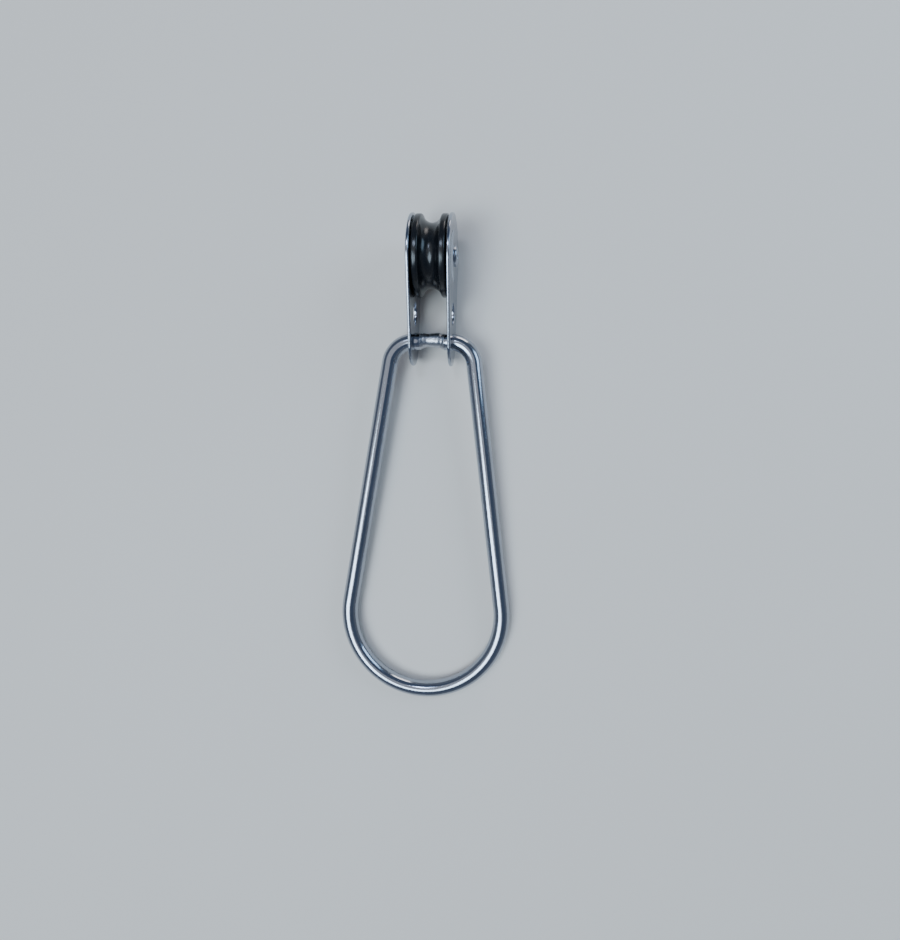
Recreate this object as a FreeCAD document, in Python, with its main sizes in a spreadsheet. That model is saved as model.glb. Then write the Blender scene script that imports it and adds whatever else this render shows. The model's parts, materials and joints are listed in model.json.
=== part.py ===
import FreeCAD, Part
import math
import os
import Sketcher

# A single sheave block hung on a pear-shaped ring of bent rod.
# It lies as it rests on a table: the ring flat with its far end down, the block on its edge.
# +X runs along the pins, +Y from the ring towards the sheave, +Z up. The origin is on the
# table under the middle of the whole length.

V = FreeCAD.Vector
ORIGIN = -1
H_AXIS = -1
V_AXIS = -2
SQUARE_TO_THE_PINS = 1e-6
SAME_RADIUS = 1e-3

doc = FreeCAD.newDocument("SheaveBlock")


# ---------------------------------------------------------------- driving sizes, millimetres

DRIVING_SIZES = [
    ("rod_diameter", 6.0, "rod that the ring is bent from"),
    ("ring_length", 131.0, "ring, from the top bar's centre line to the bottom bend's"),
    ("bottom_radius", 29.0, "bottom bend of the ring, at the rod's centre line"),
    ("corner_radius", 9.0, "two top corners of the ring, at the rod's centre line"),
    ("bend_inset", 0.8, "how far inside the cheeks' outer faces the corners begin"),
    ("weld_width", 9.0, "weld on the top bar, across its face"),
    ("weld_root_gap", 1.4, "gap between the rod's two ends"),
    ("weld_land_radius", 1.0, "flat left on each end of the rod inside the weld's bevel"),
    ("weld_neck_diameter", 5.2, "weld where it is ground thinnest"),
    ("weld_neck_width", 3.6, "thinnest stretch of the weld"),
    ("cheek_gap", 12.8, "between the cheeks' inner faces"),
    ("cheek_thickness", 1.2, "cheek plate"),
    ("cheek_cover", 0.3, "how far a cheek stands out past the sheave"),
    ("cheek_edge_round", 0.45, "rounding of a cheek's edge"),
    ("eye_end_radius", 8.8, "cheek's small end, about the eye"),
    ("eye_clearance", 0.1, "radial play of the top bar in the eyes"),
    ("line_gap", 12.7, "free height for the rope between sheave and top bar"),
    ("becket_hole_diameter", 8.0, "round hole through both cheeks"),
    ("becket_to_eye", 10.0, "round hole's centre from the eye's centre"),
    ("boss_diameter", 18.5, "round boss pressed outwards in a cheek, at its foot"),
    ("boss_height", 0.45, "pressed boss, above the cheek's face"),
    ("boss_slope", 0.6, "width of the boss's sloping wall"),
    ("sheave_diameter", 28.6, "over the rims"),
    ("rim_clearance", 0.5, "between a rim's side and the cheek"),
    ("rim_round", 0.8, "rounding of the rims' corners, or less where the rim is narrow"),
    ("groove_radius", 3.6, "section of the rope groove"),
    ("groove_depth", 3.1, "rope groove, below the rims"),
    ("hub_diameter", 14.0, "raised faces at the sheave's middle"),
    ("hub_clearance", 0.1, "between a hub face and its thrust washer"),
    ("washer_diameter", 14.6, "thrust washer, outside"),
    ("washer_thickness", 0.5, "thrust washer"),
    ("washer_clearance", 0.1, "radial play of a thrust washer on the sleeve"),
    ("sleeve_diameter", 8.0, "sleeve that the sheave turns on"),
    ("running_clearance", 0.05, "radial play of the sheave on the sleeve"),
    ("rivet_diameter", 5.0, "tubular rivet's shank"),
    ("rivet_clearance", 0.05, "radial play of the rivet in the sleeve"),
    ("rivet_bore", 3.4, "hole through the rivet"),
    ("rivet_head_diameter", 7.4, "rivet's rolled-over heads"),
]

sheet = doc.addObject("Spreadsheet::Sheet", "Sizes")
for row, (alias, value, meaning) in enumerate(DRIVING_SIZES, start=1):
    sheet.set(f"A{row}", meaning)
    sheet.set(f"B{row}", str(value))
    sheet.setAlias(f"B{row}", alias)
doc.recompute()


def size(alias):
    """A driving size as a number, for where a sketch's geometry is first drawn."""
    return float(sheet.get(alias))


# ---------------------------------------------------------------- lengths worked out from them

ROD_RADIUS = "Sizes.rod_diameter / 2"
BAR_HALF = "(Sizes.cheek_gap / 2 + Sizes.cheek_thickness - Sizes.bend_inset)"
HEAD_RADIUS = "(Sizes.sheave_diameter / 2 + Sizes.cheek_cover)"
AXLE_TO_EYE = "(Sizes.sheave_diameter / 2 + Sizes.line_gap + Sizes.rod_diameter / 2)"
INNER_FACE = "(Sizes.cheek_gap / 2)"
OUTER_FACE = "(Sizes.cheek_gap / 2 + Sizes.cheek_thickness)"
BOSS_FLOOR = "(Sizes.cheek_gap / 2 + Sizes.boss_height)"
BOSS_FACE = "(Sizes.cheek_gap / 2 + Sizes.cheek_thickness + Sizes.boss_height)"
RIM_HALF = "(Sizes.cheek_gap / 2 - Sizes.rim_clearance)"
WASHER_FACE = "(Sizes.cheek_gap / 2 + Sizes.boss_height - Sizes.washer_thickness)"
HUB_HALF = f"({WASHER_FACE} - Sizes.hub_clearance)"
GROOVE_HALF = "sqrt(Sizes.groove_radius ^ 2 - (Sizes.groove_radius - Sizes.groove_depth) ^ 2)"
RIM_LAND = f"({RIM_HALF} - {GROOVE_HALF})"
WIDEST_RIM_ROUND = f"(0.45 * {RIM_LAND})"

# The block rests on the straight lower edges of its cheeks, the ring on its bottom bend.
BLOCK_RISE = f"({HEAD_RADIUS} - Sizes.eye_end_radius)"
RING_FALL = f"(Sizes.eye_end_radius - {ROD_RADIUS})"
BLOCK_REACH = f"sqrt({AXLE_TO_EYE} ^ 2 - {BLOCK_RISE} ^ 2)"
RING_REACH = f"sqrt(Sizes.ring_length ^ 2 - {RING_FALL} ^ 2)"
BLOCK_PITCH = f"asin({BLOCK_RISE} / {AXLE_TO_EYE})"
RING_PITCH = f"asin({RING_FALL} / Sizes.ring_length)"
EYE_Y = f"({RING_REACH} + {ROD_RADIUS} - {BLOCK_REACH} - {HEAD_RADIUS}) / 2"
AXLE_Y = f"({RING_REACH} + {ROD_RADIUS} + {BLOCK_REACH} - {HEAD_RADIUS}) / 2"


# ---------------------------------------------------------------- modelling helpers

def bind(thing, expressions):
    for path, expression in expressions.items():
        thing.setExpression(path, expression)


def new_body(label, y, z, pitch):
    """A body whose own X axis stays along the pins, pitched up about it by an angle."""
    body = doc.addObject("PartDesign::Body", label)
    body.Label = label
    body.Placement = FreeCAD.Placement(V(0, 0, 0), FreeCAD.Rotation(V(1, 0, 0), 1.0))
    bind(body, {
        "Placement.Base.y": y,
        "Placement.Base.z": z,
        "Placement.Rotation.Angle": pitch,
    })
    return body


def ring_body(label):
    """A piece of the ring: its origin is the middle of the top bar."""
    return new_body(label, EYE_Y, "Sizes.eye_end_radius", RING_PITCH)


def block_body(label):
    """A piece of the block: its origin is the middle of the axle."""
    return new_body(label, AXLE_Y, HEAD_RADIUS, BLOCK_PITCH)


def origin_plane(body, role):
    return next(f for f in body.Origin.OriginFeatures if f.Role == role)


def sketch_on(body, role, name, start=None):
    """A sketch on one of the body's own planes, moved along its normal by an expression."""
    sketch = body.newObject("Sketcher::SketchObject", name)
    sketch.AttachmentSupport = [(origin_plane(body, role), "")]
    sketch.MapMode = "FlatFace"
    if start is not None:
        sketch.setExpression("AttachmentOffset.Base.z", start)
    return sketch


def constrain(sketch, kind, *references, size_expression=None):
    """Adds a constraint and, where it has a size, binds that size to the sheet."""
    index = sketch.addConstraint(Sketcher.Constraint(kind, *references))
    if size_expression is not None:
        sketch.setExpression(f"Constraints[{index}]", size_expression)


def polygon(sketch, corners):
    """A closed outline of straight lines whose corners are pairs of expressions."""
    count = len(corners)
    start = [V(math.cos(math.tau * i / count), math.sin(math.tau * i / count), 0) for i in range(count)]
    for i in range(count):
        sketch.addGeometry(Part.LineSegment(start[i], start[(i + 1) % count]), False)
    for i in range(count):
        constrain(sketch, "Coincident", i, 2, (i + 1) % count, 1)
    for i, (across, up) in enumerate(corners):
        for kind, place, expression in (("DistanceX", start[i].x, across), ("DistanceY", start[i].y, up)):
            constrain(sketch, kind, ORIGIN, 1, i, 1, place, size_expression=expression)


def circle(sketch, centre, diameter, across="0"):
    """A circle centred on the sketch's horizontal axis."""
    index = sketch.addGeometry(Part.Circle(centre, V(0, 0, 1), 1.0), False)
    constrain(sketch, "PointOnObject", index, 3, H_AXIS)
    constrain(sketch, "DistanceX", ORIGIN, 1, index, 3, centre.x, size_expression=across)
    constrain(sketch, "Diameter", index, 2.0, size_expression=diameter)


def on_axle(body, kind, name, start, outwards, sizes):
    """A primitive whose axis lies along X from a start, pointing outwards to +X or -X."""
    feature = body.newObject(f"PartDesign::{kind}", name)
    feature.AttachmentSupport = [(origin_plane(body, "YZ_Plane"), "")]
    feature.MapMode = "FlatFace"
    turn = 0 if outwards > 0 else 180
    feature.AttachmentOffset = FreeCAD.Placement(V(0, 0, 0), FreeCAD.Rotation(V(0, 1, 0), turn))
    feature.setExpression("AttachmentOffset.Base.z", f"{outwards} * {start}")
    bind(feature, sizes)
    return feature


def tube_through(body, half_length, outer_radius, inner_radius):
    """A plain tube, centred on the axle's middle."""
    for kind, radius in (("AdditiveCylinder", outer_radius), ("SubtractiveCylinder", inner_radius)):
        on_axle(body, kind, f"{body.Name}_{kind}", f"(-{half_length})", 1, {
            "Radius": radius,
            "Height": f"2 * {half_length}",
        })
        doc.recompute()


def round_edges(body, name, chosen, radius):
    """Rounds the edges of the body's last shape that the function chosen picks."""
    doc.recompute()
    tip = body.Tip
    picked = [f"Edge{i}" for i, edge in enumerate(tip.Shape.Edges, start=1) if chosen(edge)]
    fillet = body.newObject("PartDesign::Fillet", name)
    fillet.Base = (tip, picked)
    fillet.setExpression("Radius", radius)
    return fillet


# ---------------------------------------------------------------- the ring and its weld

def ring_path(body):
    """The rod's centre line: half the bar, a corner, a leg, the bottom bend, and back."""
    bar = size("cheek_gap") / 2 + size("cheek_thickness") - size("bend_inset")
    gap = size("weld_root_gap") / 2
    corner = size("corner_radius")
    bottom = size("bottom_radius")
    drop = size("ring_length") - bottom
    between = math.hypot(bar, drop - corner)
    lean = math.asin((bottom - corner) / between) - math.atan2(bar, drop - corner)
    out = V(math.cos(lean), math.sin(lean), 0)
    corner_centre = V(bar, -corner, 0)
    bottom_centre = V(0, -drop, 0)
    leg_top = corner_centre + out * corner
    leg_foot = bottom_centre + out * bottom
    half_turn = (math.pi / 2 + lean) / 2
    corner_middle = corner_centre + V(math.sin(half_turn), math.cos(half_turn), 0) * corner

    def mirrored(point):
        return V(-point.x, point.y, 0)

    sketch = sketch_on(body, "XY_Plane", "ring_path")
    sketch.addGeometry([
        Part.LineSegment(V(gap, 0, 0), V(bar, 0, 0)),
        Part.Arc(leg_top, corner_middle, V(bar, 0, 0)),
        Part.LineSegment(leg_top, leg_foot),
        Part.Arc(mirrored(leg_foot), bottom_centre - V(0, bottom, 0), leg_foot),
        Part.LineSegment(mirrored(leg_foot), mirrored(leg_top)),
        Part.Arc(V(-bar, 0, 0), mirrored(corner_middle), mirrored(leg_top)),
        Part.LineSegment(V(-bar, 0, 0), V(-gap, 0, 0)),
    ], False)
    right_bar, right_corner, right_leg, bend, left_leg, left_corner, left_bar = range(7)
    for first, first_end, second, second_end in (
        (right_bar, 2, right_corner, 2),
        (right_corner, 1, right_leg, 1),
        (right_leg, 2, bend, 2),
        (bend, 1, left_leg, 1),
        (left_leg, 2, left_corner, 2),
        (left_corner, 1, left_bar, 1),
    ):
        constrain(sketch, "Tangent", first, first_end, second, second_end)
    for line in (right_bar, left_bar):
        for end in (1, 2):
            constrain(sketch, "PointOnObject", line, end, H_AXIS)
    root = "Sizes.weld_root_gap / 2"
    constrain(sketch, "DistanceX", ORIGIN, 1, right_bar, 1, gap, size_expression=root)
    constrain(sketch, "DistanceX", ORIGIN, 1, right_bar, 2, bar, size_expression=BAR_HALF)
    constrain(sketch, "DistanceX", left_bar, 2, ORIGIN, 1, gap, size_expression=root)
    constrain(sketch, "DistanceX", left_bar, 1, ORIGIN, 1, bar, size_expression=BAR_HALF)
    constrain(sketch, "Equal", right_corner, left_corner)
    constrain(sketch, "Radius", right_corner, corner, size_expression="Sizes.corner_radius")
    constrain(sketch, "Radius", bend, bottom, size_expression="Sizes.bottom_radius")
    constrain(sketch, "PointOnObject", bend, 3, V_AXIS)
    constrain(sketch, "DistanceY", bend, 3, ORIGIN, 1, drop,
              size_expression="Sizes.ring_length - Sizes.bottom_radius")
    return sketch


def weld_bevel():
    """One side of the bevel between a rod end and the weld: its foot and its lip."""
    foot = ("Sizes.weld_root_gap / 2", "Sizes.weld_land_radius")
    lip = ("Sizes.weld_width / 2", ROD_RADIUS)
    return foot, lip


def on_the_left(corner):
    return (f"-({corner[0]})", corner[1])


def make_handle_ring():
    """The bent rod, with both ends bevelled for the weld."""
    body = ring_body("handle_ring")
    path = ring_path(body)
    section = sketch_on(body, "YZ_Plane", "rod_section", "Sizes.weld_root_gap / 2")
    circle(section, V(0, 0, 0), "Sizes.rod_diameter")
    doc.recompute()
    rod = body.newObject("PartDesign::AdditivePipe", "rod")
    rod.Profile = section
    rod.Spine = (path, [])
    rod.Transition = "Transformed"
    doc.recompute()
    foot, lip = weld_bevel()
    outside = (lip[0], "Sizes.rod_diameter")
    bevel = sketch_on(body, "XY_Plane", "bevel_section")
    polygon(bevel, [on_the_left(foot), foot, lip, outside, on_the_left(outside), on_the_left(lip)])
    doc.recompute()
    cut = body.newObject("PartDesign::Groove", "end_bevels")
    cut.Profile = bevel
    cut.ReferenceAxis = (bevel, ["H_Axis"])
    cut.Angle = 360
    return body


def make_ring_weld():
    """The weld: it fills the bevels, and its face is ground into a shallow neck."""
    body = ring_body("ring_weld")
    foot, lip = weld_bevel()
    heart = (foot[0], "0")
    neck = ("Sizes.weld_neck_width / 2", "Sizes.weld_neck_diameter / 2")
    section = sketch_on(body, "XY_Plane", "weld_section")
    right_side = [heart, foot, lip, neck]
    polygon(section, right_side + [on_the_left(corner) for corner in reversed(right_side)])
    doc.recompute()
    bead = body.newObject("PartDesign::Revolution", "weld_bead")
    bead.Profile = section
    bead.ReferenceAxis = (section, ["H_Axis"])
    bead.Angle = 360
    return body


# ---------------------------------------------------------------- the cheeks

def cheek_outline(sketch):
    """A teardrop about the axle and the eye, with the eye and the becket hole in it."""
    head = size("sheave_diameter") / 2 + size("cheek_cover")
    tail = size("eye_end_radius")
    reach = size("sheave_diameter") / 2 + size("line_gap") + size("rod_diameter") / 2
    lean = math.asin((head - tail) / reach)
    upper = V(-math.sin(lean), math.cos(lean), 0)
    lower = V(upper.x, -upper.y, 0)
    eye = V(-reach, 0, 0)
    sketch.addGeometry([
        Part.Arc(lower * head, V(head, 0, 0), upper * head),
        Part.LineSegment(upper * head, eye + upper * tail),
        Part.Arc(eye + upper * tail, eye - V(tail, 0, 0), eye + lower * tail),
        Part.LineSegment(eye + lower * tail, lower * head),
    ], False)
    head_end, top_edge, eye_end, bottom_edge = range(4)
    constrain(sketch, "Tangent", head_end, 2, top_edge, 1)
    constrain(sketch, "Tangent", top_edge, 2, eye_end, 1)
    constrain(sketch, "Tangent", eye_end, 2, bottom_edge, 1)
    constrain(sketch, "Tangent", bottom_edge, 2, head_end, 1)
    constrain(sketch, "Coincident", head_end, 3, ORIGIN, 1)
    constrain(sketch, "PointOnObject", eye_end, 3, H_AXIS)
    constrain(sketch, "DistanceX", eye_end, 3, ORIGIN, 1, reach, size_expression=AXLE_TO_EYE)
    constrain(sketch, "Radius", head_end, head, size_expression=HEAD_RADIUS)
    constrain(sketch, "Radius", eye_end, tail, size_expression="Sizes.eye_end_radius")
    circle(sketch, eye, "Sizes.rod_diameter + 2 * Sizes.eye_clearance", f"-{AXLE_TO_EYE}")
    circle(sketch, eye + V(size("becket_to_eye"), 0, 0), "Sizes.becket_hole_diameter",
           f"Sizes.becket_to_eye - {AXLE_TO_EYE}")


def make_cheek(label, side):
    """One cheek plate, on the +X side for side 1 and the -X side for side -1."""
    body = block_body(label)
    near_face = INNER_FACE if side > 0 else f"(-{OUTER_FACE})"
    outline = sketch_on(body, "YZ_Plane", f"{label}_outline", near_face)
    cheek_outline(outline)
    doc.recompute()
    plate = body.newObject("PartDesign::Pad", f"{label}_plate")
    plate.Profile = outline
    plate.setExpression("Length", "Sizes.cheek_thickness")

    def on_the_outline(edge):
        is_a_hole = len(edge.Vertexes) == 1
        return edge.BoundBox.XLength < SQUARE_TO_THE_PINS and not is_a_hole

    round_edges(body, f"{label}_edges", on_the_outline, "Sizes.cheek_edge_round")
    doc.recompute()
    boss_radius = "Sizes.boss_diameter / 2"
    on_axle(body, "AdditiveCone", f"{label}_boss", OUTER_FACE, side, {
        "Radius1": boss_radius,
        "Radius2": f"{boss_radius} - Sizes.boss_slope",
        "Height": "Sizes.boss_height",
    })
    doc.recompute()
    on_axle(body, "SubtractiveCone", f"{label}_hollow", INNER_FACE, side, {
        "Radius1": f"{boss_radius} - Sizes.boss_slope",
        "Radius2": f"{boss_radius} - 2 * Sizes.boss_slope",
        "Height": "Sizes.boss_height",
    })
    doc.recompute()
    on_axle(body, "SubtractiveCylinder", f"{label}_rivet_hole", INNER_FACE, side, {
        "Radius": "Sizes.rivet_diameter / 2",
        "Height": f"{BOSS_FACE} - {INNER_FACE}",
    })
    return body


# ---------------------------------------------------------------- the sheave and its axle

def make_sheave():
    """The grooved wheel: a rim, slightly raised hub faces, a round-bottomed groove, a bore."""
    body = block_body("sheave")
    rim_radius = "Sizes.sheave_diameter / 2"
    for name, radius, half in (("rim", rim_radius, RIM_HALF), ("hub", "Sizes.hub_diameter / 2", HUB_HALF)):
        on_axle(body, "AdditiveCylinder", f"sheave_{name}", f"(-{half})", 1, {
            "Radius": radius,
            "Height": f"2 * {half}",
        })
        doc.recompute()
    on_axle(body, "SubtractiveTorus", "rope_groove", "0", 1, {
        "Radius1": f"{rim_radius} - Sizes.groove_depth + Sizes.groove_radius",
        "Radius2": "Sizes.groove_radius",
    })
    doc.recompute()
    on_axle(body, "SubtractiveCylinder", "sheave_bore", f"(-{HUB_HALF})", 1, {
        "Radius": "Sizes.sleeve_diameter / 2 + Sizes.running_clearance",
        "Height": f"2 * {HUB_HALF}",
    })
    rim = size("sheave_diameter") / 2

    def on_the_rims(edge):
        box = edge.BoundBox
        return box.XLength < SQUARE_TO_THE_PINS and abs(box.YLength / 2 - rim) < SAME_RADIUS

    round_edges(body, "rim_rounds", on_the_rims, f"min(Sizes.rim_round; {WIDEST_RIM_ROUND})")
    return body


def make_axle_sleeve():
    """The tube that holds the cheeks apart and carries the sheave."""
    body = block_body("axle_sleeve")
    tube_through(body, BOSS_FLOOR, "Sizes.sleeve_diameter / 2",
                 "Sizes.rivet_diameter / 2 + Sizes.rivet_clearance")
    return body


def make_axle_rivet():
    """The tubular rivet, with a rolled head on each cheek's boss."""
    body = block_body("axle_rivet")
    tube_through(body, BOSS_FACE, "Sizes.rivet_diameter / 2", "Sizes.rivet_bore / 2")
    for side, name in ((1, "right_head"), (-1, "left_head")):
        head = on_axle(body, "AdditiveTorus", name, BOSS_FACE, side, {
            "Radius1": "(Sizes.rivet_head_diameter + Sizes.rivet_bore) / 4",
            "Radius2": "(Sizes.rivet_head_diameter - Sizes.rivet_bore) / 4",
        })
        head.Angle1 = -180
        head.Angle2 = 0
        doc.recompute()
    return body


def make_thrust_washer(label, side):
    """A thin washer in a boss's hollow, between the cheek and the sheave's hub."""
    body = block_body(label)
    for kind, radius in (
        ("AdditiveCylinder", "Sizes.washer_diameter / 2"),
        ("SubtractiveCylinder", "Sizes.sleeve_diameter / 2 + Sizes.washer_clearance"),
    ):
        on_axle(body, kind, f"{label}_{kind}", WASHER_FACE, side, {
            "Radius": radius,
            "Height": "Sizes.washer_thickness",
        })
        doc.recompute()
    return body


# ---------------------------------------------------------------- build, check and write

pieces = [make_handle_ring(), make_ring_weld()]
for side_name, side in (("left", -1), ("right", 1)):
    pieces.append(make_cheek(f"cheek_{side_name}", side))
    pieces.append(make_thrust_washer(f"thrust_washer_{side_name}", side))
pieces += [make_sheave(), make_axle_sleeve(), make_axle_rivet()]
doc.recompute()

for item in doc.Objects:
    if "Invalid" in item.State or "Error" in item.State:
        raise RuntimeError(f"{item.Name} failed: {item.State}")
for piece in pieces:
    if piece.Shape.isNull() or not piece.Shape.isValid() or len(piece.Shape.Solids) != 1:
        raise RuntimeError(f"{piece.Label} has no single valid solid")

os.makedirs("parts", exist_ok=True)
for piece in pieces:
    piece.Shape.exportStep(f"parts/{piece.Label}.step")
    box = piece.Shape.optimalBoundingBox()
    print(f"{piece.Label}: {piece.Shape.Volume:.1f} mm3, "
          f"x {box.XMin:.2f} to {box.XMax:.2f}, "
          f"y {box.YMin:.2f} to {box.YMax:.2f}, "
          f"z {box.ZMin:.2f} to {box.ZMax:.2f}")
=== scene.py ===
"""The finished look of a single sheave block on its ring, modelled round the CAD frame."""

import contextlib
import json
import math

import bpy
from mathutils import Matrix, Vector


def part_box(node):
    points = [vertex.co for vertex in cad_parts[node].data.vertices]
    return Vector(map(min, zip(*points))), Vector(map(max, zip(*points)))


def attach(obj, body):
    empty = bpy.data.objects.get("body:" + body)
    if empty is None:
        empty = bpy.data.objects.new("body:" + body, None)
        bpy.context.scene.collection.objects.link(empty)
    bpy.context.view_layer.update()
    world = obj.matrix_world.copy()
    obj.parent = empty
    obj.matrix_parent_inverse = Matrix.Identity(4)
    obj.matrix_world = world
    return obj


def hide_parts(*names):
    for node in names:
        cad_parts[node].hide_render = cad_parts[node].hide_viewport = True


bl_info = {
    "name": "Sheave block",
    "version": (1, 0, 0),
    "blender": (4, 5, 0),
    "location": "View3D > Sidebar > Sheave block",
    "description": "Models the visible pieces of a single sheave block, its finishes and its studio",
    "category": "Object",
}

MM = 0.001
QUARTER_TURN = math.pi / 2
ONE_POINT = 0.001 * MM  # points nearer than this are merged
NEAR_ENOUGH = 0.01 * MM  # what still counts as level, or as on a circle
FACE_WEIGHT = 80  # how far large faces lead the shading of small ones

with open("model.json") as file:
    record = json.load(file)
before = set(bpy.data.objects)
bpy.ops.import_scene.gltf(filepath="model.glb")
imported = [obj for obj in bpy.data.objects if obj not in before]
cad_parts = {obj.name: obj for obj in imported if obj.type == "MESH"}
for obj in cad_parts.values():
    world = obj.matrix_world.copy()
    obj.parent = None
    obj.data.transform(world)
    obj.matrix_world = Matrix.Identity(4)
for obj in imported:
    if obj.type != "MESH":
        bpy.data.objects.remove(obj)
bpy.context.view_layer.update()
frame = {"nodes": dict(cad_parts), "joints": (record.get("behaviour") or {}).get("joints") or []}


# ------------------------------------------------------------ places and sizes read from the frame

def joint_place(name):
    return Vector(next(joint["pos_m"] for joint in frame["joints"] if joint["name"] == name))


def half_height(node):
    low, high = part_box(node)
    return (high.z - low.z) / 2


EYE = joint_place("block_swing")
AXLE = joint_place("sheave_spin")
AXLE_TO_EYE = (AXLE - EYE).length
BLOCK_PITCH = math.atan2(AXLE.z - EYE.z, AXLE.y - EYE.y)

ROD_RADIUS = half_height("ring_weld")
WELD_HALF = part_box("ring_weld")[1].x
RING_LOW, RING_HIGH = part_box("handle_ring")
RING_FALL = EYE.z - ROD_RADIUS
RING_REACH = EYE.y - RING_LOW.y - ROD_RADIUS
RING_LENGTH = math.hypot(RING_REACH, RING_FALL)
RING_PITCH = math.atan2(RING_FALL, RING_REACH)
BEND_RADIUS = RING_HIGH.x - ROD_RADIUS

CHEEK_LOW, CHEEK_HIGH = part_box("cheek_right")
INNER_FACE = CHEEK_LOW.x
BOSS_FACE = CHEEK_HIGH.x
BOSS_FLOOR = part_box("axle_sleeve")[1].x
BOSS_HEIGHT = BOSS_FLOOR - INNER_FACE
OUTER_FACE = BOSS_FACE - BOSS_HEIGHT
HEAD_RADIUS = AXLE.z - CHEEK_LOW.z
TAIL_RADIUS = EYE.z - CHEEK_LOW.z

HUB_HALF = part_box("sheave")[1].x
SHEAVE_RADIUS = half_height("sheave")
SLEEVE_RADIUS = half_height("axle_sleeve")
RIVET_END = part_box("axle_rivet")[1].x
RIVET_HEAD_RADIUS = half_height("axle_rivet")


# ------------------------------------------------------------ what a user would change

def length(name, description, default):
    return bpy.props.FloatProperty(
        name=name, description=description, default=default, min=0.0,
        unit="LENGTH", subtype="DISTANCE")


def colour(name, description, default):
    return bpy.props.FloatVectorProperty(
        name=name, description=description, default=default, size=3, min=0.0, max=1.0, subtype="COLOR")


def share(name, description, default):
    return bpy.props.FloatProperty(
        name=name, description=description, default=default, min=0.0, max=1.0, subtype="FACTOR")


def power(name, description, default):
    return bpy.props.FloatProperty(
        name=name, description=description, default=default, unit="POWER")


class RingSizes(bpy.types.PropertyGroup):
    """The bent rod and its weld."""

    rod_radius: length("Rod radius", "Half the rod's diameter", ROD_RADIUS)
    bar_half: length("Half bar", "From the ring's middle to where a corner begins", 6.8 * MM)
    corner_radius: length("Corner radius", "Top corners, at the rod's centre line", 9.0 * MM)
    weld_foot: length("Weld root", "From the weld's middle to the rod's end", 0.7 * MM)
    weld_land: length("Weld land", "Radius of the flat on the rod's end", 1.0 * MM)
    weld_waist: length("Weld waist", "Radius where the weld is ground thinnest", 2.45 * MM)
    weld_bulge: length("Weld bulge", "Radius where the weld stands thickest", 2.85 * MM)


class BlockSizes(bpy.types.PropertyGroup):
    """The cheeks, the sheave and the rivet."""

    eye_play: length("Eye play", "Radial play of the bar in a cheek's eye", 0.1 * MM)
    becket_radius: length("Becket hole radius", "Round hole between eye and sheave", 4.0 * MM)
    becket_to_eye: length("Becket to eye", "Between the two holes' centres", 10.0 * MM)
    boss_radius: length("Boss radius", "Pressed boss about the axle, at its foot", 9.25 * MM)
    boss_slope: length("Boss slope", "Width of the boss's sloping wall", 0.6 * MM)
    edge_round: length("Edge rounding", "Rounding of a cheek's edge", 0.45 * MM)
    rim_half: length("Half rim", "Half the sheave's width over the rims", 5.9 * MM)
    rim_round: length("Rim rounding", "Rounding of the rims' corners", 0.8 * MM)
    hub_radius: length("Hub radius", "Raised face in the sheave's middle", 7.0 * MM)
    groove_radius: length("Groove radius", "Section of the rope groove", 3.6 * MM)
    groove_depth: length("Groove depth", "Rope groove, below the rims", 3.1 * MM)
    running_play: length("Running play", "Radial play of the sheave on its sleeve", 0.05 * MM)
    rivet_shank: length("Rivet shank radius", "Outside of the tubular rivet", 2.5 * MM)
    rivet_bore: length("Rivet bore radius", "Hole through the rivet", 1.7 * MM)


class Finishes(bpy.types.PropertyGroup):
    """Colours and wear."""

    steel: colour("Polished steel", "Colour of the polished stainless steel", (0.385, 0.415, 0.475))
    weld: colour("Ground weld", "Colour of the ground and polished weld", (0.46, 0.48, 0.52))
    acetal: colour("Acetal", "Colour of the black sheave", (0.005, 0.006, 0.008))
    floor: colour("Floor", "Colour of the plain floor", (0.94, 0.87, 0.79))
    wear: share("Wear", "How worn and scratched the metal is", 0.5)


# ------------------------------------------------------------ modelling by hand

@contextlib.contextmanager
def edit_mode(obj):
    """Edit mode on one object, with its whole mesh selected."""
    only(obj)
    bpy.ops.object.mode_set(mode="EDIT")
    bpy.ops.mesh.select_all(action="SELECT")
    yield
    bpy.ops.object.mode_set(mode="OBJECT")


def only(obj):
    """Leaves this object alone selected and active."""
    bpy.ops.object.select_all(action="DESELECT")
    obj.select_set(True)
    bpy.context.view_layer.objects.active = obj


def new_primitive(add, **settings):
    """Adds a primitive with nothing else selected, its place in its mesh."""
    bpy.ops.object.select_all(action="DESELECT")
    add(**settings)
    bpy.ops.object.transform_apply()
    return bpy.context.object


def modify(obj, kind, **settings):
    """Adds a modifier and applies it."""
    only(obj)
    bpy.ops.object.modifier_add(type=kind)
    modifier = obj.modifiers[-1]
    for name, value in settings.items():
        setattr(modifier, name, value)
    bpy.ops.object.modifier_apply(modifier=modifier.name)


def combine(obj, tool, operation):
    """Joins a second solid to the first or cuts it away, and removes it."""
    modify(obj, "BOOLEAN", operation=operation, object=tool, solver="EXACT")
    bpy.data.objects.remove(tool)


def along_x(add, start, end, centre_y=0.0, **settings):
    """A round primitive whose axis lies along X, from one place on it to another."""
    turn = math.copysign(QUARTER_TURN, end - start)
    return new_primitive(
        add, depth=abs(end - start), location=((start + end) / 2, centre_y, 0.0),
        rotation=(0.0, turn, 0.0), **settings)


def arc(centre_x, centre_r, radius, start, end, steps):
    """Points of an arc in a turned piece's section, between two angles from the X axis."""
    return [
        (centre_x + radius * math.cos(start + (end - start) * i / steps),
         centre_r + radius * math.sin(start + (end - start) * i / steps))
        for i in range(steps + 1)
    ]


def both_sides(right_half):
    """A section and its mirror image, closed from the right side round to the left and back."""
    return right_half + [(-x, r) for x, r in reversed(right_half)]


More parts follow.
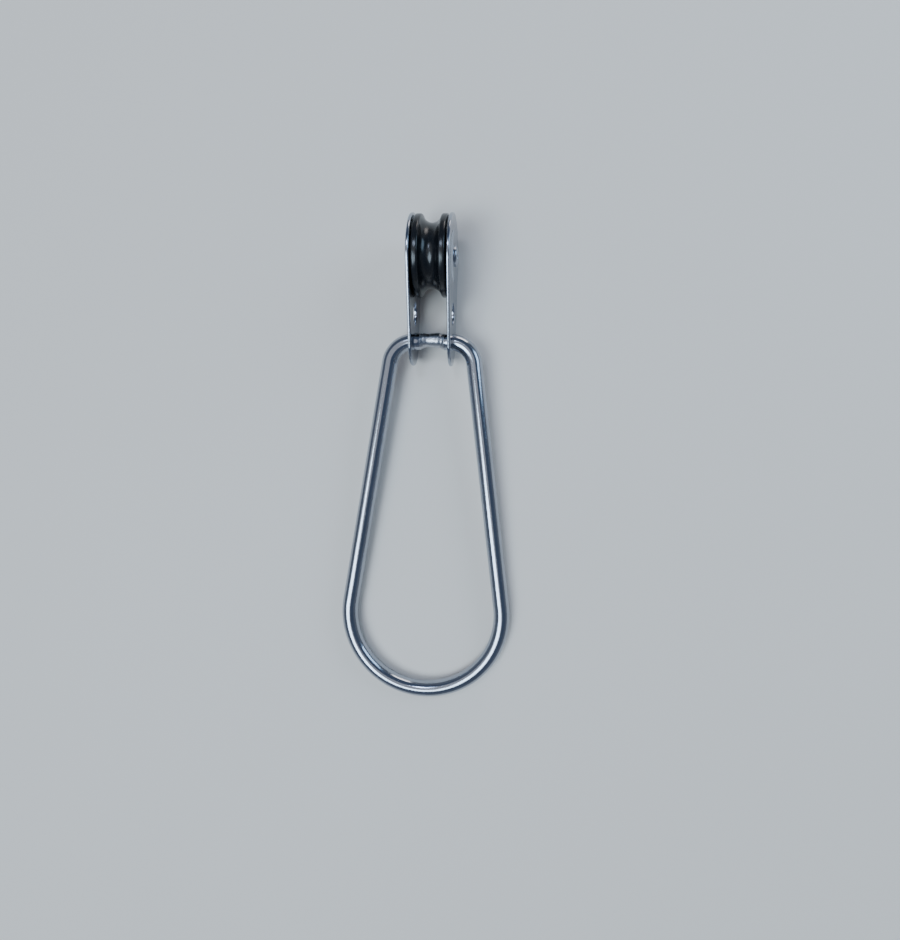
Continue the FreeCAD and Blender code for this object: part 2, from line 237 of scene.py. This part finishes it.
def turned(name, section, steps):
    """A piece turned on a lathe about X: a point is drawn out along the section, then spun."""
    points = [Vector((x, r, 0.0)) for x, r in section + section[:1]]
    obj = new_primitive(bpy.ops.mesh.primitive_plane_add, size=MM, location=points[0])
    obj.name = name
    with edit_mode(obj):
        bpy.ops.mesh.merge(type="CENTER")
        for here, there in zip(points, points[1:]):
            bpy.ops.mesh.extrude_vertices_move(TRANSFORM_OT_translate={"value": there - here})
        bpy.ops.mesh.select_all(action="SELECT")
        bpy.ops.mesh.spin(steps=steps, angle=math.tau, center=(0, 0, 0), axis=(1, 0, 0))
        bpy.ops.mesh.select_all(action="SELECT")
        bpy.ops.mesh.remove_doubles(threshold=ONE_POINT)
        bpy.ops.mesh.normals_make_consistent(inside=False)
    return obj


def bevel_edges(obj, chosen, offset, segments):
    """Rounds the edges that the function picks by their two ends."""
    with edit_mode(obj):
        bpy.ops.mesh.select_mode(type="EDGE")
        bpy.ops.mesh.select_all(action="DESELECT")
        bpy.ops.object.mode_set(mode="OBJECT")
        places = [v.co for v in obj.data.vertices]
        for edge in obj.data.edges:
            first, second = (places[i] for i in edge.vertices)
            edge.select = chosen(first, second)
        bpy.ops.object.mode_set(mode="EDIT")
        bpy.ops.mesh.bevel(offset=offset, segments=segments, profile=0.5, clamp_overlap=True)
        bpy.ops.mesh.select_mode(type="VERT")


def finish_piece(obj, name, at, pitch, material, body, replaced, smooth_angle=35):
    """Puts a piece where the frame has it, hangs it on its body and hides the frame's part that it
    replaces.
    """
    obj.name = name
    only(obj)
    bpy.ops.object.shade_smooth_by_angle(angle=math.radians(smooth_angle))
    modify(obj, "WEIGHTED_NORMAL", keep_sharp=True, weight=FACE_WEIGHT)
    obj.rotation_euler = (pitch, 0.0, 0.0)
    obj.location = at
    bpy.ops.object.transform_apply()
    obj.data.materials.clear()
    obj.data.materials.append(material)
    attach(obj, body)
    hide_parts(replaced)


# ------------------------------------------------------------ shader maths

class Wire:
    """A shader socket that can be added to, taken from and multiplied."""

    def __init__(self, recipe, socket):
        self.recipe = recipe
        self.socket = socket

    def maths(self, operation, first, second):
        return self.recipe.node("Math", {"operation": operation}, {0: first, 1: second})

    def __add__(self, other):
        return self.maths("ADD", self, other)

    def __radd__(self, other):
        return self.maths("ADD", other, self)

    def __sub__(self, other):
        return self.maths("SUBTRACT", self, other)

    def __rsub__(self, other):
        return self.maths("SUBTRACT", other, self)

    def __mul__(self, other):
        return self.maths("MULTIPLY", self, other)

    def __rmul__(self, other):
        return self.maths("MULTIPLY", other, self)


class Recipe:
    """A material being mixed: its nodes are added one by one."""

    def __init__(self, name):
        self.material = bpy.data.materials.new(name)
        self.material.use_nodes = True
        self.tree = self.material.node_tree
        self.tree.nodes.clear()
        self.place = self.node("TexCoord", {}, {}, "Object")

    def node(self, kind, settings, inputs, output=0):
        """Adds a node: its settings first, then what its sockets hold or are wired to."""
        node = self.tree.nodes.new(f"ShaderNode{kind}")
        for name, value in settings.items():
            if name == "stops":
                for element, (position, grey) in zip(node.color_ramp.elements, value):
                    element.position = position
                    element.color = (grey, grey, grey, 1.0)
            else:
                setattr(node, name, value)
        for name, value in inputs.items():
            if isinstance(value, Wire):
                self.tree.links.new(value.socket, node.inputs[name])
            else:
                node.inputs[name].default_value = value
        return Wire(self, node.outputs[output])

    def noise(self, size, detail=3.0, place=None, roughness=0.5):
        """Soft noise whose patches are about this size, in metres."""
        return self.node("TexNoise", {}, {
            "Vector": place or self.place, "Scale": 1.0 / size,
            "Detail": detail, "Roughness": roughness})

    def ramp(self, value, low, high):
        """Black below one value, white above the other and grey between."""
        return self.node("ValToRGB", {"stops": [(low, 0.0), (high, 1.0)]}, {"Fac": value})

    def hairlines(self, rotation, spacing, run, low, high):
        """Fine straight scratches of about this spacing and run, all one way."""
        along = self.node("Mapping", {}, {
            "Vector": self.place, "Rotation": rotation, "Scale": (1.0, spacing / run, 1.0)})
        return self.ramp(self.noise(spacing, 1.0, along), low, high)

    def lathe_rings(self, centre, spacing, detail):
        """Fine rings about an axle that lies along X, as a turning tool leaves them."""
        around = self.node("VectorMath", {"operation": "SUBTRACT"}, {0: self.place, 1: centre})
        flat = self.node("VectorMath", {"operation": "MULTIPLY"}, {0: around, 1: (0.0, 1.0, 1.0)})
        reach = self.node("VectorMath", {"operation": "LENGTH"}, {0: flat}, "Value")
        across = self.node("SeparateXYZ", {}, {0: around}, "X")
        ring_place = self.node("CombineXYZ", {}, {"X": reach, "Y": across})
        return self.noise(spacing, detail, ring_place)

    def tint(self, first, second, factor):
        """A mix of two colours."""
        return self.node("Mix", {"data_type": "RGBA"}, {
            "Factor": factor, 6: (*first, 1.0), 7: (*second, 1.0)}, 2)

    def bump(self, height, distance, strength, normal=None):
        """Height made into a normal, on top of another bump where one is given."""
        inputs = {"Height": height, "Distance": distance, "Strength": strength}
        if normal is not None:
            inputs["Normal"] = normal
        return self.node("Bump", {}, inputs)

    def surface(self, colour_wire, roughness, normal, metallic, **constants):
        """The surface shader, wired to the output."""
        inputs = {
            "Base Color": colour_wire, "Roughness": roughness, "Normal": normal, "Metallic": metallic}
        inputs.update(constants)
        shader = self.node("BsdfPrincipled", {}, inputs)
        output = self.tree.nodes.new("ShaderNodeOutputMaterial")
        self.tree.links.new(shader.socket, output.inputs["Surface"])
        return self.material


def shade(tone, factor):
    """A colour made lighter or darker."""
    return tuple(min(1.0, part * factor) for part in tone)


# ------------------------------------------------------------ the finishes

DUST = (0.06, 0.065, 0.08)


def polished_steel(name, tone, wear, wave_size, base_roughness):
    """Mirror-polished stainless: slow waves, a faint mottle, scratches, smears and tiny pits."""
    mix = Recipe(name)
    mottle = mix.noise(0.7 * MM, 3.0, roughness=0.6)
    smear = mix.ramp(mix.noise(7 * MM, 5.0), 0.42, 0.72)
    cloud = mix.noise(1.6 * MM, 3.0)
    scratches = (
        mix.hairlines((0.3, 0.2, 0.5), 0.16 * MM, 7 * MM, 0.66, 0.72)
        + mix.hairlines((1.1, 0.7, 2.0), 0.13 * MM, 4 * MM, 0.68, 0.74)
        + mix.hairlines((2.0, 1.4, 1.1), 0.20 * MM, 9 * MM, 0.67, 0.72)
    )
    pits = mix.ramp(mix.noise(0.35 * MM, 2.0), 0.72, 0.80)
    roughness = (
        base_roughness + 0.05 * cloud + wear * 0.14 * smear + wear * 0.20 * scratches + 0.2 * pits)
    colour_wire = mix.tint(tone, shade(tone, 0.86), smear)
    waves = mix.bump(mix.noise(wave_size, 2.0), 0.05 * MM, 0.35)
    uneven = mix.bump(mottle, 0.030 * MM, 0.5, waves)
    normal = mix.bump(1.0 - scratches * wear - pits, 0.006 * MM, 0.5, uneven)
    return mix.surface(colour_wire, roughness, normal, 1.0)


def ground_weld(name, tone):
    """Weld metal ground by hand and polished over: dents, pits and short grinding marks."""
    mix = Recipe(name)
    dents = mix.noise(0.9 * MM, 4.0, roughness=0.6)
    pits = mix.ramp(mix.noise(0.28 * MM, 2.0), 0.62, 0.74)
    grinding = mix.hairlines((0.2, 0.1, 0.35), 0.09 * MM, 2.2 * MM, 0.52, 0.70)
    roughness = 0.20 + 0.16 * dents + 0.25 * pits + 0.10 * grinding
    colour_wire = mix.tint(tone, shade(tone, 0.55), pits)
    rough = mix.bump(dents, 0.05 * MM, 0.5)
    normal = mix.bump(1.0 - pits - 0.4 * grinding, 0.025 * MM, 0.6, rough)
    return mix.surface(colour_wire, roughness, normal, 1.0)


def turned_steel(name, tone, centre):
    """Steel left with the fine rings of the tool that turned or rolled it."""
    mix = Recipe(name)
    rings = mix.lathe_rings(centre, 0.12 * MM, 2.0)
    smear = mix.noise(1.2 * MM, 4.0)
    roughness = 0.10 + 0.14 * rings + 0.12 * smear
    colour_wire = mix.tint(tone, shade(tone, 0.7), smear)
    return mix.surface(colour_wire, roughness, mix.bump(rings, 0.01 * MM, 0.6), 1.0)


def black_acetal(name, tone, centre, base_roughness):
    """Glossy black plastic: turning rings about the axle, rope polish, dust and fine scuffs."""
    mix = Recipe(name)
    rings = mix.lathe_rings(centre, 0.22 * MM, 3.0)
    haze = mix.ramp(mix.noise(3.2 * MM, 5.0), 0.40, 0.75)
    specks = mix.ramp(mix.noise(0.30 * MM, 1.0), 0.70, 0.76)
    scuffs = mix.hairlines((0.0, 0.4, 0.3), 0.14 * MM, 3.5 * MM, 0.66, 0.73)
    roughness = base_roughness + 0.06 * rings + 0.07 * haze + 0.15 * scuffs
    colour_wire = mix.tint(tone, DUST, 0.06 * haze + 0.35 * specks + 0.15 * scuffs)
    normal = mix.bump(rings - 0.5 * scuffs, 0.008 * MM, 0.5)
    return mix.surface(colour_wire, roughness, normal, 0.0, IOR=1.49)


def plain_floor(name, tone):
    """A plain pale matt floor."""
    mix = Recipe(name)
    cloud = mix.noise(90 * MM, 3.0)
    colour_wire = mix.tint(tone, shade(tone, 0.97), cloud)
    return mix.surface(colour_wire, 0.55 + 0.1 * cloud, mix.bump(cloud, 0.1 * MM, 0.1), 0.0)


# ------------------------------------------------------------ one operator for each piece

class MakeHandleRing(bpy.types.Operator):
    """Bends the rod into the pear-shaped ring, with its two ends bevelled for the weld"""

    bl_idname = "sheave_block.handle_ring"
    bl_label = "Handle ring"

    SIDES = 72
    STEP = 3.0 * MM
    DEGREES_A_STEP = 2.5
    WAVE_LENGTH = 14 * MM
    WAVE_DEPTH = 0.06 * MM

    def straight(self, distance):
        """Draws the rod out straight ahead."""
        count = max(1, round(distance / self.STEP))
        move = self.heading * (distance / count)
        for _ in range(count):
            bpy.ops.mesh.extrude_region_move(TRANSFORM_OT_translate={"value": move})
            self.at += move

    def bend(self, radius, angle):
        """Turns to the right round a bend of this radius."""
        inward = Vector((self.heading.y, -self.heading.x, 0.0))
        centre = self.at + inward * radius
        steps = max(8, round(math.degrees(angle) / self.DEGREES_A_STEP))
        bpy.ops.mesh.spin(steps=steps, angle=angle, center=centre, axis=(0, 0, 1))
        heading_angle = math.atan2(self.heading.y, self.heading.x) - angle
        self.heading = Vector((math.cos(heading_angle), math.sin(heading_angle), 0.0))
        outward = Vector((-self.heading.y, self.heading.x, 0.0))
        self.at = centre + outward * radius

    def taper(self, distance, factor):
        """One length along the bar in which the rod's section grows or shrinks."""
        move = Vector((distance, 0.0, 0.0))
        bpy.ops.mesh.extrude_region_move(TRANSFORM_OT_translate={"value": move})
        self.at += move
        bpy.ops.transform.resize(value=(factor, factor, factor), center_override=self.at)

    def execute(self, context):
        sizes = context.scene.sheave_block_ring
        drop = RING_LENGTH - BEND_RADIUS
        between = math.hypot(sizes.bar_half, drop - sizes.corner_radius)
        lean = (math.asin((BEND_RADIUS - sizes.corner_radius) / between)
                - math.atan2(sizes.bar_half, drop - sizes.corner_radius))
        leg = math.sqrt(between ** 2 - (BEND_RADIUS - sizes.corner_radius) ** 2)
        growth = sizes.rod_radius / sizes.weld_land
        bevel = WELD_HALF - sizes.weld_foot
        self.at = Vector((sizes.weld_foot, 0.0, 0.0))
        self.heading = Vector((1.0, 0.0, 0.0))
        rod = new_primitive(
            bpy.ops.mesh.primitive_circle_add, vertices=self.SIDES, radius=sizes.weld_land,
            location=self.at, rotation=(0.0, QUARTER_TURN, 0.0))
        with edit_mode(rod):
            self.taper(bevel, growth)
            self.straight(sizes.bar_half - WELD_HALF)
            self.bend(sizes.corner_radius, QUARTER_TURN - lean)
            self.straight(leg)
            self.bend(BEND_RADIUS, math.pi + 2 * lean)
            self.straight(leg)
            self.bend(sizes.corner_radius, QUARTER_TURN - lean)
            self.straight(sizes.bar_half - WELD_HALF)
            self.taper(bevel, 1 / growth)
            bpy.ops.mesh.select_all(action="SELECT")
            bpy.ops.mesh.fill_holes(sides=0)
            bpy.ops.mesh.normals_make_consistent(inside=False)
        self.handle_marks(rod)
        finish = context.scene.sheave_block_finish
        steel = polished_steel("rod_steel", finish.steel, finish.wear, 16 * MM, 0.075)
        finish_piece(rod, "ring_rod", EYE, RING_PITCH, steel, "ring", "handle_ring")
        return {"FINISHED"}

    def handle_marks(self, rod):
        """Slight waves left along the rod by bending and polishing, only ever inwards."""
        waves = bpy.data.textures.new("rod_waves", "CLOUDS")
        waves.noise_scale = self.WAVE_LENGTH
        modify(rod, "DISPLACE", texture=waves, texture_coords="LOCAL",
               strength=self.WAVE_DEPTH, mid_level=1.0)


class MakeRingWeld(bpy.types.Operator):
    """Fills the gap in the top bar with an uneven weld, ground thin by hand"""

    bl_idname = "sheave_block.ring_weld"
    bl_label = "Ring weld"

    STEPS_ALONG = 72
    SIDES = 96
    GROUND = "ground"
    HEART = 2.0 * MM
    FADE = 3.0
    LEAN_FORWARD = 0.55 * MM
    # Each texture's name, patch size and depth.
    UNEVENNESS = (("dents", 3.2 * MM, 0.19 * MM), ("ripples", 0.9 * MM, 0.045 * MM))
    MOSTLY_INWARDS = 0.75

    def execute(self, context):
        sizes = context.scene.sheave_block_ring
        rod, waist, bulge = sizes.rod_radius, sizes.weld_waist, sizes.weld_bulge
        # How far along the weld, from end to end, and the radius there.
        stations = [
            (-1.0, rod), (-0.74, 0.5 * (rod + waist)), (-0.38, waist),
            (0.02, 0.6 * waist + 0.4 * bulge), (0.5, bulge), (0.78, 0.5 * (bulge + waist)),
            (1.0, rod)]
        face = []
        for (start, start_radius), (end, end_radius) in zip(stations, stations[1:]):
            steps = max(4, round((end - start) * self.STEPS_ALONG / 2))
            for i in range(steps):
                eased = 0.5 - 0.5 * math.cos(math.pi * i / steps)
                x = start + (end - start) * i / steps
                face.append((x * WELD_HALF, start_radius + (end_radius - start_radius) * eased))
        face.append((WELD_HALF, rod))
        heart = [
            (sizes.weld_foot, sizes.weld_land), (sizes.weld_foot, 0.0),
            (-sizes.weld_foot, 0.0), (-sizes.weld_foot, sizes.weld_land)]
        weld = turned("weld", face + heart, self.SIDES)
        self.grind(weld)
        finish = context.scene.sheave_block_finish
        metal = ground_weld("weld_steel", finish.weld)
        finish_piece(weld, "weld_bead", EYE, RING_PITCH, metal, "ring", "ring_weld")
        return {"FINISHED"}

    def grind(self, weld):
        """Dents and flats, strongest in the middle and none where the weld meets the rod."""
        group = weld.vertex_groups.new(name=self.GROUND)
        for vertex in weld.data.vertices:
            on_the_face = math.hypot(vertex.co.y, vertex.co.z) > self.HEART
            inside = 1.0 - abs(vertex.co.x) / WELD_HALF
            if on_the_face:
                group.add([vertex.index], min(1.0, self.FADE * max(0.0, inside)), "REPLACE")
        for name, size, depth in self.UNEVENNESS:
            texture = bpy.data.textures.new(name, "CLOUDS")
            texture.noise_scale = size
            modify(weld, "DISPLACE", texture=texture, texture_coords="LOCAL", strength=depth,
                   mid_level=self.MOSTLY_INWARDS, vertex_group=self.GROUND)
        modify(weld, "DISPLACE", direction="Y", strength=self.LEAN_FORWARD, mid_level=0.0,
               vertex_group=self.GROUND)


class MakeCheeks(bpy.types.Operator):
    """Cuts the two teardrop side plates, presses their bosses and rounds their edges"""

    bl_idname = "sheave_block.cheeks"
    bl_label = "Cheeks"

    TAIL_SIDES = 144
    HEAD_SIDES = 192
    BOSS_SIDES = 160
    HOLE_SIDES = 96
    OVERLAP = 0.3 * MM
    DRILL_OVERRUN = 1.0 * MM
    BOSS_ROUND = 0.26 * MM
    EYE_ROUND = 0.06 * MM
    BECKET_ROUND = 0.18 * MM
    FACET = 0.05 * MM
    MARGIN = 0.2 * MM
    FLAT_DEGREES = 0.5
    SMOOTH_ANGLE = 40

    def execute(self, context):
        sizes = context.scene.sheave_block_block
        finish = context.scene.sheave_block_finish
        steel = polished_steel("plate_steel", finish.steel, finish.wear, 11 * MM, 0.04)
        for label, side in (("left", -1), ("right", 1)):
            plate = self.plate(sizes, side)
            finish_piece(
                plate, f"cheek_plate_{label}", AXLE, BLOCK_PITCH, steel, "block",
                f"cheek_{label}", smooth_angle=self.SMOOTH_ANGLE)
        return {"FINISHED"}

    def plate(self, sizes, side):
        inner, outer = side * INNER_FACE, side * OUTER_FACE
        tail = along_x(bpy.ops.mesh.primitive_cylinder_add, inner, outer, -AXLE_TO_EYE,
                       vertices=self.TAIL_SIDES, radius=TAIL_RADIUS)
        head = along_x(bpy.ops.mesh.primitive_cylinder_add, inner, outer,
                       vertices=self.HEAD_SIDES, radius=HEAD_RADIUS)
        tail.select_set(True)
        bpy.ops.object.join()
        with edit_mode(head):
            bpy.ops.mesh.convex_hull()
            bpy.ops.mesh.dissolve_limited(angle_limit=math.radians(self.FLAT_DEGREES))
            bpy.ops.mesh.normals_make_consistent(inside=False)

        def along_the_outline(first, second):
            return abs(first.x - second.x) < NEAR_ENOUGH

        bevel_edges(head, along_the_outline, sizes.edge_round, 5)
        self.press_boss(head, sizes, side)
        beyond = side * self.DRILL_OVERRUN
        for radius, place in (
            (ROD_RADIUS + sizes.eye_play, -AXLE_TO_EYE),
            (sizes.becket_radius, sizes.becket_to_eye - AXLE_TO_EYE),
            (sizes.rivet_shank, 0.0),
        ):
            drill = along_x(
                bpy.ops.mesh.primitive_cylinder_add, inner - beyond, outer + 2 * beyond, place,
                vertices=self.HOLE_SIDES, radius=radius)
            combine(head, drill, "DIFFERENCE")
        self.break_hole_edges(head, sizes)
        return head

    def press_boss(self, plate, sizes, side):
        """A low round boss outside and the hollow behind it."""
        spread = self.OVERLAP * sizes.boss_slope / BOSS_HEIGHT
        foot = sizes.boss_radius + spread
        top = sizes.boss_radius - sizes.boss_slope
        boss = along_x(bpy.ops.mesh.primitive_cone_add,
                       side * (OUTER_FACE - self.OVERLAP), side * BOSS_FACE,
                       vertices=self.BOSS_SIDES, radius1=foot, radius2=top)
        combine(plate, boss, "UNION")
        mouth = sizes.boss_radius - sizes.boss_slope + spread
        floor = sizes.boss_radius - 2 * sizes.boss_slope
        hollow = along_x(bpy.ops.mesh.primitive_cone_add,
                         side * (INNER_FACE - self.OVERLAP), side * BOSS_FLOOR,
                         vertices=self.BOSS_SIDES, radius1=mouth, radius2=floor)
        combine(plate, hollow, "DIFFERENCE")

        def on_the_boss(first, second):
            reach = [math.hypot(p.y, p.z) for p in (first, second)]
            level = abs(first.x - second.x) < NEAR_ENOUGH and abs(reach[0] - reach[1]) < self.FACET
            inside = floor - self.MARGIN < min(reach) and max(reach) < sizes.boss_radius + self.MARGIN
            return level and inside

        bevel_edges(plate, on_the_boss, self.BOSS_ROUND, 3)

    def break_hole_edges(self, plate, sizes):
        """Takes the sharpness off the rims of the holes."""
        holes = (
            (-AXLE_TO_EYE, ROD_RADIUS + sizes.eye_play, self.EYE_ROUND),
            (sizes.becket_to_eye - AXLE_TO_EYE, sizes.becket_radius, self.BECKET_ROUND),
        )
        for place, radius, offset in holes:
            def on_the_rim(first, second):
                level = abs(first.x - second.x) < NEAR_ENOUGH
                reach = [math.hypot(p.y - place, p.z) for p in (first, second)]
                return level and max(abs(r - radius) for r in reach) < NEAR_ENOUGH

            bevel_edges(plate, on_the_rim, offset, 3)


class MakeSheave(bpy.types.Operator):
    """Turns the black sheave with its round-bottomed rope groove"""

    bl_idname = "sheave_block.sheave"
    bl_label = "Sheave"

    SIDES = 192
    CHAMFER = 0.25 * MM
    HUB_CHAMFER = 0.1 * MM
    HUB_STEP = 0.35 * MM

    def execute(self, context):
        sizes = context.scene.sheave_block_block
        rim, corner = sizes.rim_half, sizes.rim_round
        bore = SLEEVE_RADIUS + sizes.running_play
        groove_centre = SHEAVE_RADIUS - sizes.groove_depth + sizes.groove_radius
        lip_r = SHEAVE_RADIUS - corner
        lip_x = math.sqrt((sizes.groove_radius + corner) ** 2 - (groove_centre - lip_r) ** 2)
        meeting = math.atan2(groove_centre - lip_r, -lip_x)
        step = self.HUB_STEP
        right_half = [
            (HUB_HALF - self.CHAMFER, bore),
            (HUB_HALF, bore + self.CHAMFER),
            (HUB_HALF, sizes.hub_radius - self.HUB_CHAMFER),
            (HUB_HALF - self.HUB_CHAMFER, sizes.hub_radius),
            *arc(rim + step, sizes.hub_radius + step, step, -QUARTER_TURN, -math.pi, 5),
            *arc(rim - corner, lip_r, corner, 0.0, QUARTER_TURN, 8),
            *arc(lip_x, lip_r, corner, QUARTER_TURN, meeting, 10),
            *arc(0.0, groove_centre, sizes.groove_radius, meeting - math.pi, -QUARTER_TURN, 28),
        ]
        right_half = [p for i, p in enumerate(right_half) if p not in right_half[:i]]
        wheel = turned("wheel", both_sides(right_half)[:-1], self.SIDES)
        finish = context.scene.sheave_block_finish
        plastic = black_acetal("black_acetal", finish.acetal, AXLE, 0.16)
        finish_piece(
            wheel, "sheave_wheel", AXLE, BLOCK_PITCH, plastic, "sheave", "sheave")
        return {"FINISHED"}


class MakeRivet(bpy.types.Operator):
    """Rolls the tubular rivet's two heads over the cheeks' bosses"""

    bl_idname = "sheave_block.rivet"
    bl_label = "Axle rivet"

    SIDES = 96

    def execute(self, context):
        sizes = context.scene.sheave_block_block
        roll = (RIVET_HEAD_RADIUS - sizes.rivet_bore) / 2
        middle = (RIVET_HEAD_RADIUS + sizes.rivet_bore) / 2
        height = RIVET_END - BOSS_FACE
        head = [
            (BOSS_FACE + (x - BOSS_FACE) * height / roll, r)
            for x, r in arc(BOSS_FACE, middle, roll, QUARTER_TURN, -QUARTER_TURN, 20)]
        tube = turned("tube", both_sides([(BOSS_FACE, sizes.rivet_shank), *head]), self.SIDES)
        finish = context.scene.sheave_block_finish
        steel = turned_steel("rivet_steel", finish.steel, AXLE)
        finish_piece(
            tube, "rivet_tube", AXLE, BLOCK_PITCH, steel, "block", "axle_rivet")
        return {"FINISHED"}


class FinishInnerParts(bpy.types.Operator):
    """Gives the sleeve and the two thrust washers inside the sheave their finishes"""

    bl_idname = "sheave_block.inner_parts"
    bl_label = "Inner parts"

    def execute(self, context):
        finish = context.scene.sheave_block_finish
        sleeve = turned_steel("sleeve_steel", shade(finish.steel, 0.9), AXLE)
        washer = black_acetal("washer_acetal", shade(finish.acetal, 1.6), AXLE, 0.34)
        for node, material in (
            ("axle_sleeve", sleeve), ("thrust_washer_left", washer), ("thrust_washer_right", washer),
        ):
            data = frame["nodes"][node].data
            data.materials.clear()
            data.materials.append(material)
        return {"FINISHED"}


# ------------------------------------------------------------ the studio

class StageSettings(bpy.types.PropertyGroup):
    """The camera and the lights."""

    lens: bpy.props.FloatProperty(
        name="Lens", description="Focal length of the camera", default=23.82, unit="CAMERA")
    key_power: power("Key light", "Power of the large soft light overhead", 66.0)
    haze_strength: bpy.props.FloatProperty(
        name="Haze", description="Strength of the faint light from all of one side",
        default=0.5, min=0.0)
    top_power: power("Top light", "Power of the small light above the block", 0.8)
    window_power: power("Window light", "Power of the cool light at the side", 2.0)
    low_power: power("Low light", "Power of the warm light beyond the block", 7.0)
    sky: colour("Surroundings", "Colour that polished metal sees overhead", (0.10, 0.133, 0.20))


class MakeStage(bpy.types.Operator):
    """Lays the floor, sets the camera over it and hangs the lights"""

    bl_idname = "sheave_block.stage"
    bl_label = "Stage"

    FLOOR_SIZE = 60.0
    CAMERA_FROM_EYE = Vector((32.98, -40.90, 227.86)) * MM
    CAMERA_DEGREES = (-1.279, 6.264, 2.018)
    SENSOR_WIDTH = 36.0
    NEAREST = 5.0 * MM
    HAZE_FROM = (-0.30, -0.05, 0.95)
    HAZE_TONE = (1.0, 0.96, 0.91)
    HAZE_ANGLE = 66
    HORIZON = (0.28, 0.30, 0.33, 1.0)
    ABOVE_THE_HORIZON = 0.62
    # Each light's name, place, size and colour.
    SOFT_LIGHTS = (
        ("key", (-1.12, -1.06, 2.85), 1.6, (0.66, 0.84, 1.0)),
        ("top", (-0.12, 0.30, 0.75), 0.14, (0.60, 0.74, 1.0)),
        ("window", (0.68, 0.36, 0.47), 0.40, (0.50, 0.74, 1.0)),
        ("low", (0.55, 1.90, 0.34), 0.75, (1.0, 0.93, 0.88)),
    )

    def execute(self, context):
        stage = context.scene.sheave_block_stage
        floor = new_primitive(bpy.ops.mesh.primitive_plane_add, size=self.FLOOR_SIZE)
        floor.name = "floor"
        floor.data.materials.append(plain_floor("floor_paint", context.scene.sheave_block_finish.floor))
        self.camera(context, stage)
        self.sky(context, stage.sky)
        for name, place, size, tone in self.SOFT_LIGHTS:
            light = self.lamp(name, "AREA", Vector(place), getattr(stage, f"{name}_power"), tone)
            light.size = size
        haze = self.lamp(
            "haze", "SUN", Vector(self.HAZE_FROM), stage.haze_strength, self.HAZE_TONE)
        haze.angle = math.radians(self.HAZE_ANGLE)
        return {"FINISHED"}

    def camera(self, context, stage):
        """Almost straight down, from a little to the right of the ring's top bar."""
        bpy.ops.object.camera_add(
            location=EYE + self.CAMERA_FROM_EYE,
            rotation=[math.radians(angle) for angle in self.CAMERA_DEGREES])
        camera = context.object
        camera.data.sensor_width = self.SENSOR_WIDTH
        camera.data.lens = stage.lens
        camera.data.clip_start = self.NEAREST
        context.scene.camera = camera

    def sky(self, context, tone):
        """Dim surroundings, a little lighter towards the horizon."""
        world = bpy.data.worlds.new("studio")
        context.scene.world = world
        world.use_nodes = True
        nodes, links = world.node_tree.nodes, world.node_tree.links
        background = nodes["Background"]
        direction = nodes.new("ShaderNodeTexCoord")
        parts = nodes.new("ShaderNodeSeparateXYZ")
        ramp = nodes.new("ShaderNodeValToRGB")
        links.new(direction.outputs["Generated"], parts.inputs[0])
        links.new(parts.outputs["Z"], ramp.inputs["Fac"])
        links.new(ramp.outputs["Color"], background.inputs["Color"])
        ramp.color_ramp.elements[0].position = 0.0
        ramp.color_ramp.elements[0].color = self.HORIZON
        ramp.color_ramp.elements[1].position = self.ABOVE_THE_HORIZON
        ramp.color_ramp.elements[1].color = (*tone, 1.0)

    def lamp(self, name, kind, place, power, tone):
        """A light that shines on the middle of the object."""
        bpy.ops.object.light_add(type=kind, location=place)
        lamp = bpy.context.object
        lamp.name = name
        lamp.rotation_euler = (-place).to_track_quat("-Z", "Y").to_euler()
        lamp.data.energy = power
        lamp.data.color = tone
        return lamp.data


# ------------------------------------------------------------ the add-on

PIECES = (MakeHandleRing, MakeRingWeld, MakeCheeks, MakeSheave, MakeRivet, FinishInnerParts, MakeStage)
SETTINGS = (
    ("sheave_block_ring", RingSizes),
    ("sheave_block_block", BlockSizes),
    ("sheave_block_finish", Finishes),
    ("sheave_block_stage", StageSettings),
)


class SheaveBlockPanel(bpy.types.Panel):
    """Lists the sizes, the finishes and the pieces"""

    bl_idname = "VIEW3D_PT_sheave_block"
    bl_label = "Sheave block"
    bl_space_type = "VIEW_3D"
    bl_region_type = "UI"
    bl_category = "Sheave block"

    def draw(self, context):
        for attribute, group in SETTINGS:
            box = self.layout.box()
            settings = getattr(context.scene, attribute)
            for name in group.__annotations__:
                box.prop(settings, name)
        for operator in PIECES:
            self.layout.operator(operator.bl_idname)


def register():
    for attribute, group in SETTINGS:
        bpy.utils.register_class(group)
        setattr(bpy.types.Scene, attribute, bpy.props.PointerProperty(type=group))
    for operator in PIECES:
        bpy.utils.register_class(operator)
    bpy.utils.register_class(SheaveBlockPanel)


def unregister():
    bpy.utils.unregister_class(SheaveBlockPanel)
    for operator in reversed(PIECES):
        bpy.utils.unregister_class(operator)
    for attribute, group in reversed(SETTINGS):
        delattr(bpy.types.Scene, attribute)
        bpy.utils.unregister_class(group)


def main():
    register()
    bpy.ops.sheave_block.handle_ring()
    bpy.ops.sheave_block.ring_weld()
    bpy.ops.sheave_block.cheeks()
    bpy.ops.sheave_block.sheave()
    bpy.ops.sheave_block.rivet()
    bpy.ops.sheave_block.inner_parts()
    bpy.ops.sheave_block.stage()


if __name__ == "__main__":
    main()
